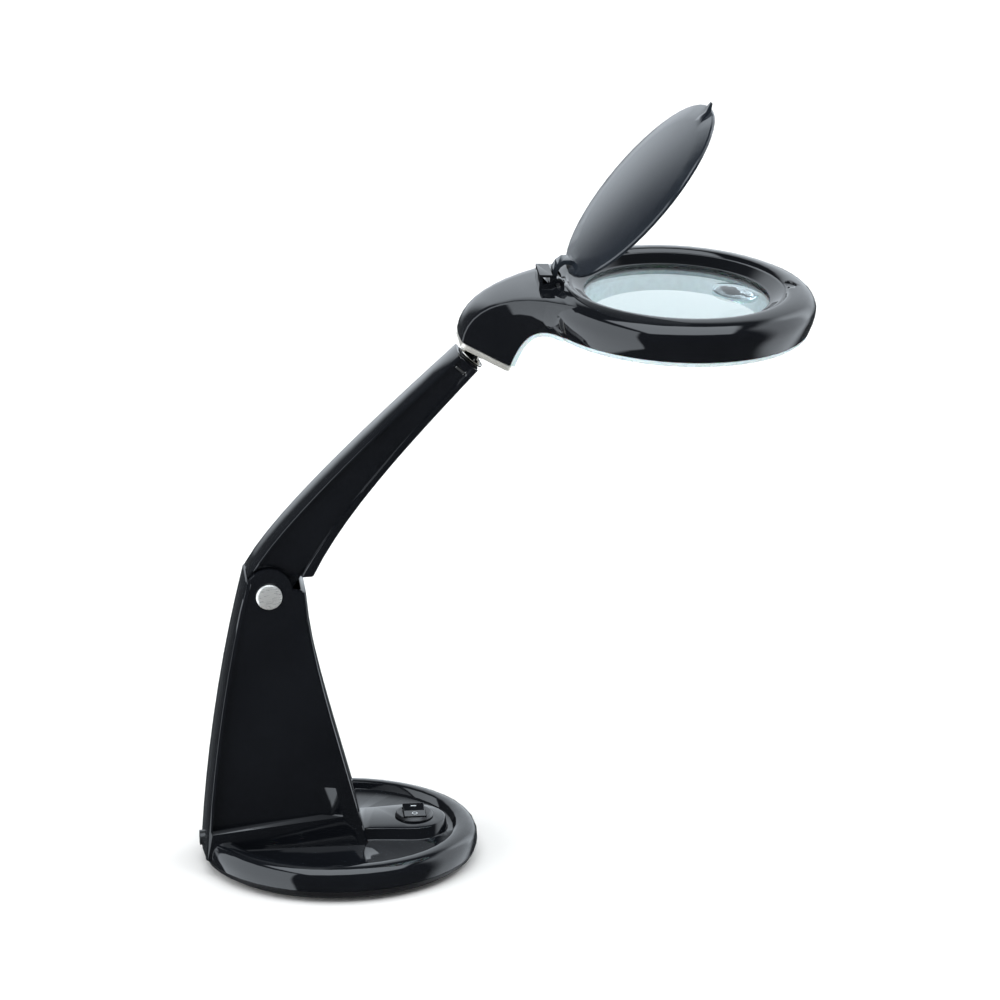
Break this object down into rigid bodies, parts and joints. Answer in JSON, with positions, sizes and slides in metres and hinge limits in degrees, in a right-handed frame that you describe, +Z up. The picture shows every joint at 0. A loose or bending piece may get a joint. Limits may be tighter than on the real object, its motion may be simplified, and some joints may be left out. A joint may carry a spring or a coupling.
{
  "type": "desk magnifying lamp",
  "caption": "Desk magnifier lamp: oval weighted foot, hollow column, tilting curved arm, ball joint, ring head with lens and lighting, flip-up lens cover.",
  "frame": {"origin": "centre of the flat underside of the foot", "axes": "+Z up, +X towards the side the head leans to, Y = 0 is the plane of symmetry"},
  "size_m": [0.293, 0.131, 0.3715],
  "materials": {
    "black_gloss": "high-gloss black moulding",
    "black_matt": "fine matt black moulding",
    "chrome": "polished chrome",
    "satin_nickel": "satin nickel",
    "steel": "plain steel",
    "white_diffuser": "milky translucent white",
    "led_white": "pale yellow phosphor",
    "circuit_board": "green solder mask",
    "lens_glass": "polished pale aqua",
    "rubber": "matt black",
    "wire_red": "insulated wire"
  },
  "bodies": {
    "base": {"ballast": "steel", "base_housing": "black_gloss", "base_plate": "black_matt", "base_screw_1": "steel", "base_screw_2": "steel", "base_screw_3": "steel", "base_screw_4": "steel", "friction_washer_far": "satin_nickel", "friction_washer_near": "satin_nickel", "non_slip_pad": "rubber", "pivot_cap_far": "chrome", "pivot_cap_near": "chrome", "pivot_pin": "steel", "power_inlet": "black_matt", "switch_body": "black_matt"},
    "switch": {"switch_rocker": "black_gloss"},
    "arm": {"arm_shell": "black_gloss", "arm_underside_strip": "black_matt", "arm_end_block": "black_matt", "arm_wire": "wire_red", "stem_clip": "chrome"},
    "stem": {"ball_stem": "chrome"},
    "cover": {"lens_cover": "black_gloss"},
    "head": {"ball_socket": "black_gloss", "head_housing": "black_gloss", "head_screw_1": "steel", "head_screw_2": "steel", "head_screw_3": "steel", "hinge_pin": "steel", "led_01": "led_white", "led_02": "led_white", "led_03": "led_white", "led_04": "led_white", "led_05": "led_white", "led_06": "led_white", "led_07": "led_white", "led_08": "led_white", "led_09": "led_white", "led_10": "led_white", "led_11": "led_white", "led_12": "led_white", "led_board": "circuit_board", "lens": "lens_glass", "lens_insert": "lens_glass", "lower_cover": "white_diffuser", "trim_plate": "satin_nickel"}
  },
  "joints": [
    {"name": "arm_tilt", "type": "hinge", "parent": "base", "child": "arm", "pos_m": [-0.033, 0, 0.1395], "axis": [0, 1, 0], "range_deg": [-5, 14]},
    {"name": "head_swivel", "type": "hinge", "parent": "arm", "child": "stem", "pos_m": [0.07101, 0, 0.25896], "axis": [0.6562, 0, 0.7546], "range_deg": [-60, 60]},
    {"name": "head_tilt", "type": "hinge", "parent": "stem", "child": "head", "pos_m": [0.07101, 0, 0.25896], "axis": [0, 1, 0], "range_deg": [-12, 36]},
    {"name": "cover_flip", "type": "hinge", "parent": "head", "child": "cover", "pos_m": [0.10372, 0, 0.28774], "axis": [0, 1, 0], "range_deg": [0, 51.2]},
    {"name": "switch_rock", "type": "hinge", "parent": "base", "child": "switch", "pos_m": [0.036, 0, 0.0198], "axis": [1, 0, 0], "range_deg": [-18, 0]}
  ]
}
